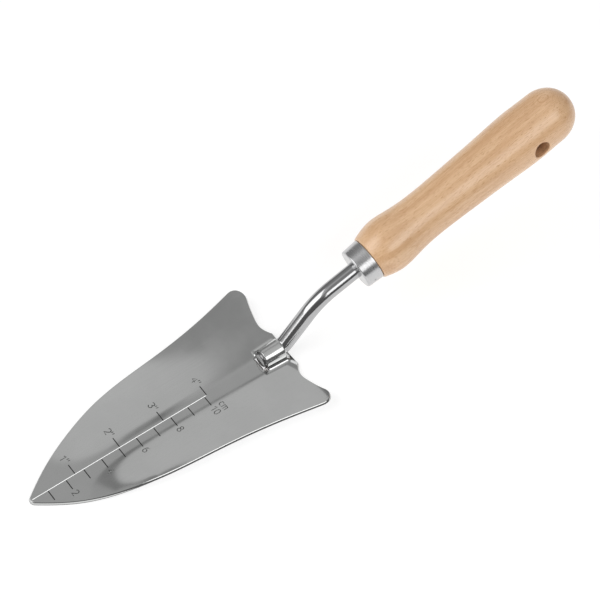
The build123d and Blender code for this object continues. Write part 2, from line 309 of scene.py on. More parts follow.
def scale_strokes():
    """Every engraved line as (points, width, depth)."""
    strokes = []
    for i in range(1, CM_MARKS + 1):
        strokes.append(([(10 * i, -0.5), (10 * i, -TICK)], TICK_W, TICK_D))
        if i % 2 == 0:
            strokes += write(str(i), 10 * i - GLYPH_BASE, -7.5)
    for i in range(1, INCH_MARKS + 1):
        strokes.append(([(INCH * i, 0.45), (INCH * i, TICK)], TICK_W, TICK_D))
        strokes += write([str(i), "inch"], INCH * i - GLYPH_BASE, 11.5)
    strokes += write("cm", 103.3, -7.2)
    return strokes


def segment_distance(points, a, b):
    """Distance of points from the segment a-b."""
    a, b = np.asarray(a, float), np.asarray(b, float)
    t = np.clip(((points - a) @ (b - a)) / ((b - a) @ (b - a)), 0, 1)
    return np.hypot(*(points - a - t[:, None] * (b - a)).T)


def engraving(points, strokes):
    """Depth of the engraving under points of the plan: V grooves, the centre line's one lopsided."""
    depth = np.zeros(len(points))
    x, y = points.T
    for line, width, deep in strokes:
        for a, b in zip(line, line[1:]):
            near = np.abs(points - np.mean([a, b], axis=0)).max(axis=1) < 5
            d = segment_distance(points[near], a, b)
            depth[near] = np.maximum(depth[near], deep * (1 - d / (width / 2)))
    half = LINE_W / 2
    gentle = (half - y) / (LINE_W - LINE_STEEP)
    steep = (y + half) / LINE_STEEP
    on_line = np.minimum(gentle, steep) * smooth((x - 0.8) / 1.5) * smooth((SCALE_LENGTH - x) / 0.4)
    return np.maximum(depth, LINE_D * np.clip(on_line, 0, 1))


def stroke_edges(strokes, points, edges):
    """Adds both sides and the bottom of every groove to a triangulation's points and edges."""
    def add(line):
        start = len(points)
        points.extend([tuple(p) for p in line])
        edges.extend([(start + i, start + i + 1) for i in range(len(line) - 1)])

    for line, width, _ in strokes:
        line = np.asarray(line, float)
        along = np.gradient(line, axis=0)
        along /= np.hypot(*along.T)[:, None]
        side = np.column_stack([-along[:, 1], along[:, 0]]) * width / 2
        add(line)
        if np.hypot(*(line[0] - line[-1])) < 0.01:
            add(line + side)
            add(line - side)
            continue
        start, end = line[0] - along[0] * width / 2, line[-1] + along[-1] * width / 2
        add(np.vstack([start, line + side, end, (line - side)[::-1], start]))
    xs = np.linspace(0.9, SCALE_LENGTH, 90)
    for y in (-LINE_W / 2, -LINE_W / 2 + LINE_STEEP, LINE_W / 2):
        add(np.column_stack([xs, np.full_like(xs, y)]))


def inside(points, loop):
    """True for points inside a closed loop."""
    x, y = points.T
    hit = np.zeros(len(points), bool)
    for (x0, y0), (x1, y1) in zip(loop, np.roll(loop, -1, axis=0)):
        if y0 != y1:
            crosses = (y0 > y) != (y1 > y)
            hit ^= crosses & (x < (x1 - x0) * (y - y0) / (y1 - y0) + x0)
    return hit


def foot_points():
    """Fine rows of points where the sheet is pulled up beside the strap."""
    return [(x, side * (strap_radius(x) + away))
            for x in np.arange(STRAP_FROM - 1.2, STRAP_TO + 2.2, 0.35) for side in (-1, 1)
            for away in (-0.3, 0, 0.15, 0.3, 0.5, 0.75, 1.05, 1.4, 1.8, 2.3, 2.9, 3.5)]


def loop_edges(n, m):
    """Edges of two closed loops of n and m points, one after the other."""
    return [(i, (i + 1) % n) for i in range(n)] + [(n + i, n + (i + 1) % m) for i in range(m)]


def triangulate(outer, hole, strokes, spacing):
    """Triangles between an outer loop and a hole, with the grooves' lines among their edges."""
    points = [tuple(p) for p in outer] + [tuple(p) for p in hole]
    n, m = len(outer), len(hole)
    edges = loop_edges(n, m)
    if strokes:
        stroke_edges(strokes, points, edges)
    fixed = np.array(points)
    low, high = outer.min(axis=0), outer.max(axis=0)
    rows = np.arange(low[0] + spacing / 2, high[0], spacing * sqrt(0.75))
    grid = np.array([(x, y) for i, x in enumerate(rows)
                     for y in np.arange(low[1] + (i % 2) * spacing / 2, high[1], spacing)])
    grid = grid[inside(grid, inset(outer, 0.45 * spacing)) & ~inside(grid, inset(hole, -0.45 * spacing))]
    cell = 0.35 * spacing
    taken = {(int(x // cell), int(y // cell)) for x, y in fixed}
    free = [p for p in grid if not any((int(p[0] // cell) + i, int(p[1] // cell) + j) in taken
                                       for i in (-1, 0, 1) for j in (-1, 0, 1))]
    points += [tuple(p) for p in free]
    if strokes:
        points += foot_points()
    made = geometry.delaunay_2d_cdt([Vector(p) for p in points], edges, [], 0, 1e-5)
    verts, tris = np.array([tuple(v) for v in made[0]]), np.array(made[2])
    middle = verts[tris].mean(axis=1)
    tris = tris[inside(middle, outer) & ~inside(middle, hole)]
    number = {source: i for i, sources in enumerate(made[3]) for source in sources}
    return verts, tris, [number[i] for i in range(n)], [number[n + i] for i in range(m)]


def slot_loop():
    """Plan of the slot that the rod's end lies in, with rounded corners, counter-clockwise."""
    r = 0.7
    corners = [(SLOT_TO - r, SLOT_HALF - r, 90), (SLOT_FROM + r, SLOT_HALF - r, 180),
               (SLOT_FROM + r, r - SLOT_HALF, 270), (SLOT_TO - r, r - SLOT_HALF, 0)]
    loop = [arc((x, y), r, a - 90, a, 4) for x, y, a in corners]
    return np.vstack(loop)


def make_blade(material, dark_cut_material, etched_material):
    """Dished sheet with rounded edges, slot and engraved scale, as one closed mesh."""
    strokes = scale_strokes()
    outline, slot = blade_outline(), slot_loop()
    top_loop, low_loop = inset(outline, RIM[0][0]), inset(outline, RIM[-1][0])
    plan, tris, rim_ids, slot_ids = triangulate(top_loop, slot, strokes, GRID)
    low_plan, low_tris, low_rim, low_slot = triangulate(low_loop, slot, [], 2 * GRID)
    x, y = plan.T
    depth = engraving(plan, strokes)
    top = np.column_stack([x, y, sheet_top(x, y) - depth])
    lx, ly = low_plan.T
    low = np.column_stack([lx, ly, dish(lx) * ly * ly - SHEET])
    points, faces = [top, low], []
    faces += [tuple(t) for t in tris]
    faces += [tuple(int(i) + len(top) for i in t[::-1]) for t in low_tris]
    # rounded rim: rings from the top face's edge, over the outline, to the bottom face's edge
    rings = [np.array(rim_ids)]
    start, n = len(top) + len(low), len(outline)
    for distance, drop, _ in RIM[1:-1]:
        loop = inset(outline, distance)
        points.append(np.column_stack([loop, dish(loop[:, 0]) * loop[:, 1]**2 - drop]))
        rings.append(np.arange(start, start + n))
        start += n
    rings.append(np.array(low_rim) + len(top))
    for a, b in zip(rings, rings[1:]):
        faces += [(int(b[i]), int(b[(i + 1) % n]), int(a[(i + 1) % n]), int(a[i])) for i in range(n)]
    cut_shade_from = len(faces) - n * (len(RIM) - RIM_CUT_SHADE)
    a, b, m = slot_ids, [i + len(top) for i in low_slot], len(slot)
    faces += [(a[i], a[(i + 1) % m], b[(i + 1) % m], b[i]) for i in range(m)]
    points = np.vstack(points)

    # true normals of the dish and the rim, flat ones in the grooves
    normal = np.zeros_like(points)
    normal[:len(top)] = surface_normal(x, y)
    normal[len(top):len(top) + len(low)] = -surface_normal(lx, ly)
    edge_dir = inset(outline, -1.0) - outline
    up = surface_normal(*outline.T)
    for ring, (_, _, a) in zip(rings[1:-1], RIM[1:-1]):
        out = np.column_stack([edge_dir, np.zeros(n)])
        out -= (out * up).sum(axis=1)[:, None] * up
        out /= np.linalg.norm(out, axis=1)[:, None]
        normal[ring] = out * sin(radians(a)) + up * cos(radians(a))
    in_groove = engraving(plan[tris].mean(axis=1), strokes) > 0.004
    corner = []
    slot_from = len(faces) - m
    for i, face in enumerate(faces):
        if i < len(tris) and in_groove[i] or i >= slot_from:
            corner += [face_normal(points, face)] * len(face)
        else:
            corner += [normal[j] for j in face]
    piece = add_piece("blade_sheet", points, [tuple(int(j) for j in f) for f in faces], material,
                      "blade", normals=corner)
    # the lower rim and the slot's walls get the dark cut steel: dull cut sheet, painted dark as the contact
    # shadow under the edge and the shade in the slot
    paint(piece, dark_cut_material, range(cut_shade_from, len(faces)))
    beside_line = np.abs(plan[tris].mean(axis=1)[:, 1]) > LINE_W / 2
    paint(piece, etched_material, np.flatnonzero(in_groove & beside_line))


def make_strap(material, dark_cut_material):
    """Strap pressed up over the rod: an arch with thickness, soft rims and slightly uneven skin."""
    e, inner = STRAP_EDGE, ROD_R + ROD_GAP
    arch = np.radians(np.linspace(-90, 90, 61))
    legs = np.linspace(-0.6, ROD_Z, 6)[:-1]
    stations = [(STRAP_FROM, e), (STRAP_FROM + 0.3 * e, 0.3 * e), (STRAP_FROM + e, 0)]
    stations += [(x, 0) for x in np.linspace(STRAP_FROM + e, STRAP_TO - e, 16)[1:-1]]
    stations += [(STRAP_TO - e, 0), (STRAP_TO - 0.3 * e, 0.3 * e), (STRAP_TO, e)]
    points, count = [], 2 * (len(arch) + 2 * len(legs))
    for x, cut in stations:
        outer, hollow = strap_radius(x) - cut, inner + 0.6 * cut
        over, under = [], []
        for radius, side in ((outer, over), (hollow, under)):
            side += [(x, -radius, z) for z in legs]
            side += [(x, radius * sin(a), ROD_Z + radius * cos(a)) for a in arch]
            side += [(x, radius, z) for z in legs[::-1]]
        wave = [0.03 * noise.noise(Vector((0.2 * px, 0.3 * py, 0.3 * pz))) for px, py, pz in over]
        over = [(px, py * (1 + w / outer), pz + w) for (px, py, pz), w in zip(over, wave)]
        points += over + under[::-1]
    faces = []
    for i in range(len(stations) - 1):
        faces += ring_faces((i + 1) * count, i * count, count)
    half = count // 2
    last = (len(stations) - 1) * count
    ends_from = len(faces)
    for i in range(half - 1):
        j = count - 1 - i
        faces.append((i, i + 1, j - 1, j))
        faces.append((last + j, last + j - 1, last + i + 1, last + i))
    piece = add_piece("blade_strap", points, faces, material, "blade", sharp=50)
    last_ring = ends_from - count
    # the front and rear rims get the dark cut steel: cut sheet edges, painted dark as the shade in the gap
    # round the rod
    paint(piece, dark_cut_material, [*range(count), *range(last_ring, len(faces))])


# ---------------- weld metal
def make_tack(material):
    """Small uneven blob of weld metal at the strap's front foot."""
    cx, cy, cz = TACK_AT
    mesh = bmesh.new()
    bmesh.ops.create_icosphere(mesh, subdivisions=4, radius=TACK_R)
    points = []
    for vert in mesh.verts:
        lump = 0.94 + 0.06 * noise.noise(vert.co * 1.6)
        x, y, z = vert.co * lump
        points.append((cx + x, cy + y, cz + z * TACK_FLAT))
    faces = [tuple(v.index for v in face.verts) for face in mesh.faces]
    mesh.free()
    add_piece("weld_tack", points, faces, material, "weld_bead")


def bead_size(part, at):
    """Relative size of a weld run: drawn in towards its ends, where part is 0 and 1, and rippled."""
    return sqrt(max(1 - abs(2 * part - 1)**6, BEAD_END)) * (1 - RIPPLE_DEPTH * abs(sin(pi * at / RIPPLE)))


def closed_tube(across, steps):
    """Faces of a tube through steps + 1 rings, with a face over each end."""
    faces = []
    for i in range(steps):
        faces += ring_faces((i + 1) * across, i * across, across)
    return faces + [tuple(range(across)), tuple(steps * across + j for j in range(across))[::-1]]


def make_weld_run(side, material):
    """Rippled run of weld metal between the rod and the slot's wall."""
    start, end = STRAP_FROM + 0.2, STRAP_TO - 0.2
    across, steps = 24, 90
    points = []
    for i in range(steps + 1):
        x = start + (end - start) * i / steps
        size = bead_size(i / steps, x - start)
        for j in range(across):
            a = 2 * pi * j / across
            y = side * (BEAD_Y + size * BEAD_HALF[0] * cos(a))
            points.append((x + 0.25 * cos(a)**2, y, BEAD_Z + size * BEAD_HALF[1] * sin(a)))
    faces = closed_tube(across, steps)
    if side > 0:
        faces = [f[::-1] for f in faces]
    name = "weld_run_inch_side" if side > 0 else "weld_run_cm_side"
    add_piece(name, points, faces, material, "weld_bead", sharp=60)


def make_weld_front(material):
    """Run of weld metal that closes the slot in front of the rod's nose; it also stands in for the shade
    under the sheet, filling the gap dark.
    """
    across, steps = 20, 40
    points = []
    for i in range(steps + 1):
        y = (SLOT_HALF - 0.3) * (2 * i / steps - 1)
        size = bead_size(i / steps, y)
        for j in range(across):
            a = 2 * pi * j / across
            points.append((SLOT_FROM + 0.5 + size * FRONT_BEAD_HALF[0] * cos(a), y,
                           FRONT_BEAD_Z + size * FRONT_BEAD_HALF[1] * sin(a)))
    faces = closed_tube(across, steps)
    add_piece("weld_run_front_and_shade", points, faces, material, "weld_bead", sharp=60)


# ---------------- neck rod
def neck_stations():
    """Distance, (x, z) and direction at stations along the neck's centre line, front to tang."""
    fx, fz = FERRULE_FRONT
    lower_turn = radians(NECK_SLOPE)
    upper = np.array([fx - NECK_CORNER, fz - NECK_CORNER * tan(radians(HANDLE_SLOPE))])
    lower = np.array([upper[0] - (upper[1] - ROD_Z) / tan(lower_turn), ROD_Z])
    start = np.array([ROD_FRONT, ROD_Z])
    end = np.array(FERRULE_FRONT) + TANG_END * heading(HANDLE_SLOPE)
    path, direction = [start], [0.0]

    def straight(to, angle, step):
        count = max(1, int(np.hypot(*(to - path[-1])) / step))
        first = path[-1]
        for t in np.linspace(0, 1, count + 1)[1:]:
            path.append(first + t * (to - first))
            direction.append(angle)

    def bend(corner, radius, before, after):
        cut = radius * tan(abs(after - before) / 2)
        straight(corner - cut * heading(degrees(before)), before, 0.4)
        turn = 1 if after > before else -1
        first = path[-1]
        centre = first + turn * radius * heading(degrees(before) + 90)
        for t in np.linspace(0, 1, 41)[1:]:
            a = before + t * (after - before)
            path.append(centre - turn * radius * heading(degrees(a) + 90))
            direction.append(a)

    bend(lower, LOWER_BEND, 0.0, lower_turn)
    bend(upper, UPPER_BEND, lower_turn, radians(HANDLE_SLOPE))
    straight(end, radians(HANDLE_SLOPE), 0.4)
    path, direction = np.array(path), np.array(direction)
    run = np.concatenate([[0], np.cumsum(np.hypot(*np.diff(path, axis=0).T))])
    return run, path, direction


def make_neck(material, dark_cut_material):
    """Cranked round bar with a rounded nose, and a grooved tang inside the handle."""
    run, path, direction = neck_stations()
    length = run[-1]
    nose = ROD_NOSE * (1 - np.cos(np.radians(np.linspace(0, 90, 9))))
    where = np.unique(np.round(np.concatenate([nose, run[run > ROD_NOSE + 0.2]]), 4))
    sides, points, faces = 72, [], []
    for s in where:
        x, z = np.interp(s, run, path[:, 0]), np.interp(s, run, path[:, 1])
        a = np.interp(s, run, direction)
        radius = ROD_R
        if s < ROD_NOSE:
            radius = ROD_R - ROD_NOSE + sqrt(max(ROD_NOSE**2 - (ROD_NOSE - s)**2, 0))
        behind = TANG_END - (length - s)
        for i in range(TANG_GROOVES):
            away = abs(behind - (TANG_END - TANG_GROOVE_STEP * (i + 1)))
            depth = TANG_GROOVE_DEPTH * (1 - 2 * away / TANG_GROOVE_REACH)
            radius = min(radius, ROD_R - max(depth, 0))
        radius = min(radius, ROD_R - TANG_CHAMFER + length - s)
        for j in range(sides):
            b = 2 * pi * j / sides
            points.append((x - radius * cos(b) * sin(a), radius * sin(b), z + radius * cos(b) * cos(a)))
    for i in range(len(where) - 1):
        faces += ring_faces((i + 1) * sides, i * sides, sides)
    first, last = len(points), len(points) + 1
    tail = (len(where) - 1) * sides
    points += [(path[0][0], 0, path[0][1]), (path[-1][0], 0, path[-1][1])]
    for j in range(sides):
        k = (j + 1) % sides
        faces += [(j, k, first), (tail + k, tail + j, last)]
    piece = add_piece("neck_bar", points, faces, material, "neck_rod", sharp=50)
    cut_to = place([(ROD_FRONT + 0.8 * ROD_NOSE, 0, 0)])[0, 0]
    paint(piece, dark_cut_material, [i for i, face in enumerate(piece.data.polygons) if face.center.x < cut_to])


# ---------------- ferrule
def turned_grid(profile, angles):
    """Points (up, side, along) of a closed profile of (radius, along) turned through angles."""
    c, s = np.cos(angles), np.sin(angles)
    return np.array([[r * c, r * s, np.full_like(c, z)] for r, z in profile]).transpose(0, 2, 1)


def make_ferrule(material):
    """Drawn cap with a hole for the bar, rounded front edge, rolled mouth and a punched dimple."""
    hole, wall, edge, lip = ROD_R + ROD_GAP, FERRULE_WALL, FERRULE_EDGE, 0.2
    r1, r2, end = FERRULE_R1, FERRULE_R2, FERRULE_LENGTH
    slope = (r2 - r1) / (end - edge)
    profile = [(hole, wall), (hole, lip)]
    profile += arc((hole + lip, lip), lip, 180, 270, 4)[1:].tolist()
    profile += [(r, 0.0) for r in np.linspace(hole + 2 * lip, r1 - edge - 0.3, 6)]
    profile += arc((r1 - edge, edge), edge, -90, 0, 8).tolist()
    fine = list(np.arange(DIMPLE_S - 1.05, DIMPLE_S + 1.06, 0.15))
    body = [1.4, 2.2, 3.0] + fine + [6.0, 7.0, 8.0, end - 0.25]
    profile += [(r1 + slope * (s - edge), s) for s in body]
    profile += [(r2 - 0.07, end - 0.07), (r2 - 0.25, end), (r2 - wall, end)]
    profile += [(r2 - wall - 0.01, end - 0.3), (r1 - wall, wall + 0.6), (r1 - wall - 0.6, wall),
                (hole + 0.4, wall)]
    roll = 90 + DIMPLE_ROLL
    coarse = [a for a in np.arange(0, 360, 3.0) if abs(a - roll) > 6]
    angles = np.radians(sorted(coarse + list(np.arange(roll - 5.6, roll + 5.7, 0.7))))
    grid = turned_grid(profile, angles)
    radius = r1 + slope * (DIMPLE_S - edge)
    centre = np.array([radius * cos(radians(roll)), radius * sin(radians(roll)), DIMPLE_S])
    away = np.linalg.norm(grid - centre, axis=2)
    outer = np.hypot(grid[:, :, 0], grid[:, :, 1]) > r1 - 0.1
    dent = np.where(outer, DIMPLE_DEPTH * smooth(1 - away / (DIMPLE_R + 0.1)), 0)
    rim = np.where(outer, DIMPLE_RIM * np.exp(-((away - DIMPLE_R - 0.12) / 0.16)**2), 0)
    scale = 1 - (dent - rim) / np.hypot(grid[:, :, 0], grid[:, :, 1])
    grid[:, :, 0] *= scale
    grid[:, :, 1] *= scale
    rows, count = len(profile), len(angles)
    faces = []
    for i in range(rows):
        faces += ring_faces(i * count, ((i + 1) % rows) * count, count)
    points = handle_place(grid.reshape(-1, 3))
    add_piece("ferrule_cap", points, faces, material, "ferrule", sharp=45)


# ---------------- handle
def handle_profile():
    """Outer half profile of the turned wood from its front shoulder to its end, as (s, radius)."""
    edge = arc((WOOD_FROM + WOOD_EDGE, WOOD_R - WOOD_EDGE), WOOD_EDGE, 180, 90, 6)
    start, end = (WOOD_FROM + WOOD_EDGE, WOOD_R), (END_FROM, END_R)
    along = np.array([1.0, WOOD_FLARE])
    body = spline([start, *HANDLE_SHAPE, end], along, np.array([1.0, 0.0]), 1.0)
    pull = END_FROM + END_FULLNESS * (HANDLE_END - END_FROM)
    p = np.array([end, (pull, END_R), (HANDLE_END, END_FULLNESS * END_R), (HANDLE_END, END_FLAT)])
    t = np.linspace(0, 1, 29)[1:, None]
    cap = (1 - t)**3 * p[0] + 3 * (1 - t)**2 * t * p[1] + 3 * (1 - t) * t**2 * p[2] + t**3 * p[3]
    return np.vstack([edge, body[1:], cap])


def make_handle(material, bore_shade_material):
    """Turned wood with spigot, blind bore and a cross hole whose mouths are softly rounded."""
    outer = handle_profile()
    smooth_from = 7
    tangent = np.gradient(outer, axis=0)
    normal_s, normal_r = -tangent[:, 1], tangent[:, 0]
    size = np.hypot(normal_s, normal_r)
    normal_s, normal_r = normal_s / size, normal_r / size

    def radius_at(s):
        return np.interp(s, outer[smooth_from:, 0], outer[smooth_from:, 1])

    def skin_normal(s, theta):
        ns = np.interp(s, outer[smooth_from:, 0], normal_s[smooth_from:])
        nr = np.interp(s, outer[smooth_from:, 0], normal_r[smooth_from:])
        return np.stack([nr * np.cos(theta), nr * np.sin(theta), ns], axis=-1)

    spigot = FERRULE_WALL + SPIGOT_GAP
    r1, r2 = FERRULE_R1 - spigot, FERRULE_R2 - spigot
    bore = [(BORE_END, BORE_FLAT), (BORE_END - DRILL_POINT, BORE_R), (spigot, BORE_R), (spigot, r1),
            (WOOD_FROM, r2)]
    profile = np.vstack([bore, outer])
    count = 120
    angles = np.arange(count) * 2 * pi / count
    points = [[r * cos(a), r * sin(a), s] for s, r in profile for a in angles]
    first_end = len(points)
    points += [[0, 0, BORE_END], [0, 0, HANDLE_END]]
    rows = len(profile)

    # windows in the grid, one round each mouth of the cross hole
    s_values = profile[:, 0]
    reach = HOLE_R + HOLE_EDGE + 1.6
    i0 = len(bore) + int(np.argmax(outer[:, 0] > HOLE_S - reach)) - 1
    i1 = len(bore) + int(np.argmax(outer[:, 0] > HOLE_S + reach))
    span = int(np.ceil(degrees(reach / radius_at(HOLE_S)) / (360 / count))) + 1
    axis_angle = 90 - HOLE_ROLL
    windows = []
    for mouth in (axis_angle, axis_angle + 180):
        middle = int(round(mouth / (360 / count)))
        windows.append((radians(mouth), middle - span, middle + span))
    skip = {(i, j % count) for _, j0, j1 in windows for i in range(i0, i1) for j in range(j0, j1)}
    faces = []
    for i in range(rows - 1):
        quads = ring_faces(i * count, (i + 1) * count, count)
        faces += [q for j, q in enumerate(quads) if (i, j) not in skip]
    last = (rows - 1) * count
    for j in range(count):
        k = (j + 1) % count
        faces += [(first_end, k, j), (first_end + 1, last + j, last + k)]
    normals = [None] * len(points)
    for i in range(len(bore) + smooth_from, rows):
        n = skin_normal(np.full(count, s_values[i]), angles)
        for j in range(count):
            normals[i * count + j] = n[j]

    # the mouths: skin up to the ring, rounded edge, then the hole's wall
    phi = np.linspace(0, 2 * pi, 65)[:-1]
    mouth_rings = []
    for mouth, j0, j1 in windows:
        ea = np.array([cos(mouth), sin(mouth), 0])
        eu = np.array([-sin(mouth), cos(mouth), 0])
        rings = []
        for beta in np.radians([0, 22.5, 45, 67.5, 90]):
            rho = HOLE_R + HOLE_EDGE * (1 - sin(beta))
            s = HOLE_S + rho * np.cos(phi)
            w = rho * np.sin(phi)
            t = np.sqrt(radius_at(s)**2 - w**2) - HOLE_EDGE * (1 - cos(beta))
            ring = t[:, None] * ea + w[:, None] * eu
            ring[:, 2] = s
            inward = -(np.sin(phi)[:, None] * eu + np.cos(phi)[:, None] * np.array([0, 0, 1]))
            skin = skin_normal(s, mouth + np.arctan2(w, t))
            start = len(points)
            points += ring.tolist()
            normals += list(cos(beta) * skin + sin(beta) * inward)
            rings.append(start)
        mouth_rings.append(rings)
        border = [(i0, j) for j in range(j0, j1)] + [(i, j1) for i in range(i0, i1)]
        border += [(i1, j) for j in range(j1, j0, -1)] + [(i, j0) for i in range(i1, i0, -1)]
        flat = radius_at(HOLE_S)

        def unrolled(i, j):
            return (s_values[i], (j * 2 * pi / count - mouth) * flat)

        loop = [unrolled(i, j) for i, j in border]
        ring = np.array(points[rings[0]:rings[0] + len(phi)])
        theta = np.arctan2(ring @ eu, ring @ ea)
        hole = list(zip(ring[:, 2], theta * flat))
        inner = [(i, j) for i in range(i0 + 1, i1) for j in range(j0 + 1, j1)]
        inner = [(i, j) for i, j in inner
                 if hypot(unrolled(i, j)[0] - HOLE_S, unrolled(i, j)[1]) > HOLE_R + HOLE_EDGE + 0.7]
        plan = loop + hole + [unrolled(i, j) for i, j in inner]
        ids = [i * count + j % count for i, j in border] + [rings[0] + k for k in range(len(phi))]
        ids += [i * count + j % count for i, j in inner]
        n, m = len(loop), len(hole)
        edges = loop_edges(n, m)
        made = geometry.delaunay_2d_cdt([Vector(p) for p in plan], edges, [], 0, 1e-6)
        flat_points, back = np.array([tuple(v) for v in made[0]]), [source[0] for source in made[3]]
        for tri in made[2]:
            middle = flat_points[list(tri)].mean(axis=0)
            if not inside(middle[None], np.array(hole))[0]:
                a, b, c = (ids[back[v]] for v in tri)
                pa, pb, pc = (np.array(points[v]) for v in (a, b, c))
                outward = np.dot(np.cross(pb - pa, pc - pa), ea) > 0
                faces.append((a, b, c) if outward else (a, c, b))
        for a, b in zip(rings, rings[1:]):
            faces += ring_faces(a, b, len(phi))
    near, far = mouth_rings[0][-1], mouth_rings[1][-1]
    m = len(phi)
    near_points, far_points = np.array(points[near:near + m]), np.array(points[far:far + m])
    far_points = far_points[(-np.arange(m)) % m]      # the far mouth's ring runs the other way
    inward = -(near_points - np.array([0, 0, HOLE_S]))
    ea = np.array([cos(radians(axis_angle)), sin(radians(axis_angle)), 0])
    inward -= (inward @ ea)[:, None] * ea
    inward /= np.linalg.norm(inward, axis=1)[:, None]
    wall_from = len(faces)
    previous = near
    for t in np.linspace(0, 1, 26)[1:-1]:
        start = len(points)
        points += ((1 - t) * near_points + t * far_points).tolist()
        normals += list(inward)
        faces += ring_faces(previous, start, m)
        previous = start
    for k in range(m):
        j = (k + 1) % m
        faces.append((previous + k, previous + j, far + (-j) % m, far + (-k) % m))
    local = np.array(points)
    for i, face in enumerate(faces):
        if all(normals[v] is not None for v in face):
            p = local[list(face[:3])]
            if np.dot(np.cross(p[1] - p[0], p[2] - p[0]), normals[face[0]]) < 0:
                faces[i] = face[::-1]
    placed = handle_place(points)
    origin = handle_place([[0, 0, 0]])[0]
    corner = []
    for face in faces:
        if any(normals[v] is None for v in face):
            corner += [face_normal(placed, face)] * len(face)
        else:
            n = handle_place([normals[v] for v in face]) - origin
            corner += list(n / np.linalg.norm(n, axis=1)[:, None])
    piece = add_piece("turned_handle", placed, faces, material, "handle", normals=corner)
    # the cross hole's wall: rough unfinished wood, painted dark brown as the shade inside the hole
    paint(piece, bore_shade_material, range(wall_from, len(faces)))


# ---------------- materials
def new_material(name, **values):
    """Principled material with constant values on the shader's own sockets."""
    material = bpy.data.materials.new(name)
    material.use_nodes = True
    tree = material.node_tree
    shader = tree.nodes["Principled BSDF"]
    for key, value in values.items():
        shader.inputs[key.replace("_", " ")].default_value = value
    return material, tree, shader


def new_node(tree, kind, vector=None, **inputs):
    """A node with constant inputs, fed with a vector."""
    node = tree.nodes.new("ShaderNode" + kind)
    for key, value in inputs.items():
        node.inputs[key.replace("_", " ")].default_value = value
    if vector is not None:
        connect(node, Vector=vector)
    return node


def connect(node, **values):
    """Links values to a node's inputs."""
    for key, value in values.items():
        node.id_data.links.new(value, node.inputs[key.replace("_", " ")])


def link_or_set(socket, value):
    """Feeds a socket from another one, or with a number or a colour."""
    if isinstance(value, bpy.types.NodeSocket):
        socket.id_data.links.new(value, socket)
    else:
        socket.default_value = (*value, 1.0) if isinstance(value, tuple) else value


def calc(operation, *values):
    """Operation on sockets and numbers, at least one of them a socket."""
    tree = next(value.id_data for value in values if isinstance(value, bpy.types.NodeSocket))
    node = new_node(tree, "Math")
    node.operation = operation
    for socket, value in zip(node.inputs, values):
        link_or_set(socket, value)
    return node.outputs[0]


def times(a, b):
    return calc("MULTIPLY", a, b)


def plus(a, b):
    return calc("ADD", a, b)


def remap(value, low, high, to_low=0.0, to_high=1.0):
    """Smooth step from to_low to to_high while the value goes from low to high."""
    node = new_node(value.id_data, "MapRange", From_Min=low, From_Max=high, To_Min=to_low, To_Max=to_high)
    node.interpolation_type = "SMOOTHSTEP"
    connect(node, Value=value)
    return node.outputs["Result"]


def object_space(tree, turn=(0, 0, 0), scale=(1, 1, 1)):
    """Object coordinates in millimetres, turned and stretched."""
    metres = tree.nodes.new("ShaderNodeTexCoord").outputs["Object"]
    turned = new_node(tree, "Mapping", metres, Rotation=turn, Scale=(1000, 1000, 1000))
    return new_node(tree, "Mapping", turned.outputs["Vector"], Scale=scale).outputs["Vector"]


def noise_node(vector, scale, detail=2.0, roughness=0.5, distortion=0.0):
    return new_node(vector.id_data, "TexNoise", vector, Scale=scale, Detail=detail, Roughness=roughness,
                    Distortion=distortion).outputs["Fac"]


def mix_colour(factor, first, second):
    """first where the factor is 0, second where it is 1."""
    node = new_node(factor.id_data, "Mix")
    node.data_type = "RGBA"
    for i, value in ((0, factor), (6, first), (7, second)):     # the sockets for colours
        link_or_set(node.inputs[i], value)
    return node.outputs[2]


def bump_node(height, strength, distance):
    node = new_node(height.id_data, "Bump", Strength=strength, Distance=distance)
    connect(node, Height=height)
    return node.outputs["Normal"]


def steel(name, colour, rough, grain, grain_scale, grain_bump, turn=(0, 0, 0)):
    """Stainless steel: faint cloudiness, uneven gloss, and fine grinding lines along one axis."""
    material, tree, shader = new_material(name, Metallic=1.0)
    lines = noise_node(object_space(tree, turn, grain_scale), 1.0, 3.0, 0.6)
    patches = noise_node(object_space(tree), 0.05, 3.0, 0.55)
    dark = tuple(c * (1 - CLOUD) for c in colour)
    clouds = mix_colour(remap(patches, 0.35, 0.65), dark, colour)
    tint = mix_colour(remap(lines, 0.3, 0.7, 0.0, grain), clouds, tuple(c * 0.8 for c in colour))
    gloss = plus(remap(patches, 0.3, 0.7, rough[0], rough[1]), remap(lines, 0.35, 0.75, 0.0, rough[2]))
    connect(shader, Base_Color=tint, Roughness=gloss, Normal=bump_node(lines, grain_bump, 0.00002))
    return material


def weld_metal():
    """Weld metal: duller than the sheet, with straw and blue heat colours in patches."""
    material, tree, shader = new_material("weld_metal", Metallic=1.0)
    fine = noise_node(object_space(tree), 2.2, 4.0, 0.6)
    heat = noise_node(object_space(tree), 0.35, 2.0)
    grey = mix_colour(remap(fine, 0.35, 0.7), (0.50, 0.49, 0.48), (0.30, 0.29, 0.29))
    tint = mix_colour(remap(heat, 0.5, 0.7, 0.0, 0.3), grey, (0.36, 0.32, 0.27))
    connect(shader, Base_Color=tint, Roughness=remap(fine, 0.3, 0.7, 0.22, 0.5),
            Normal=bump_node(fine, 0.5, 0.0001))
    return material


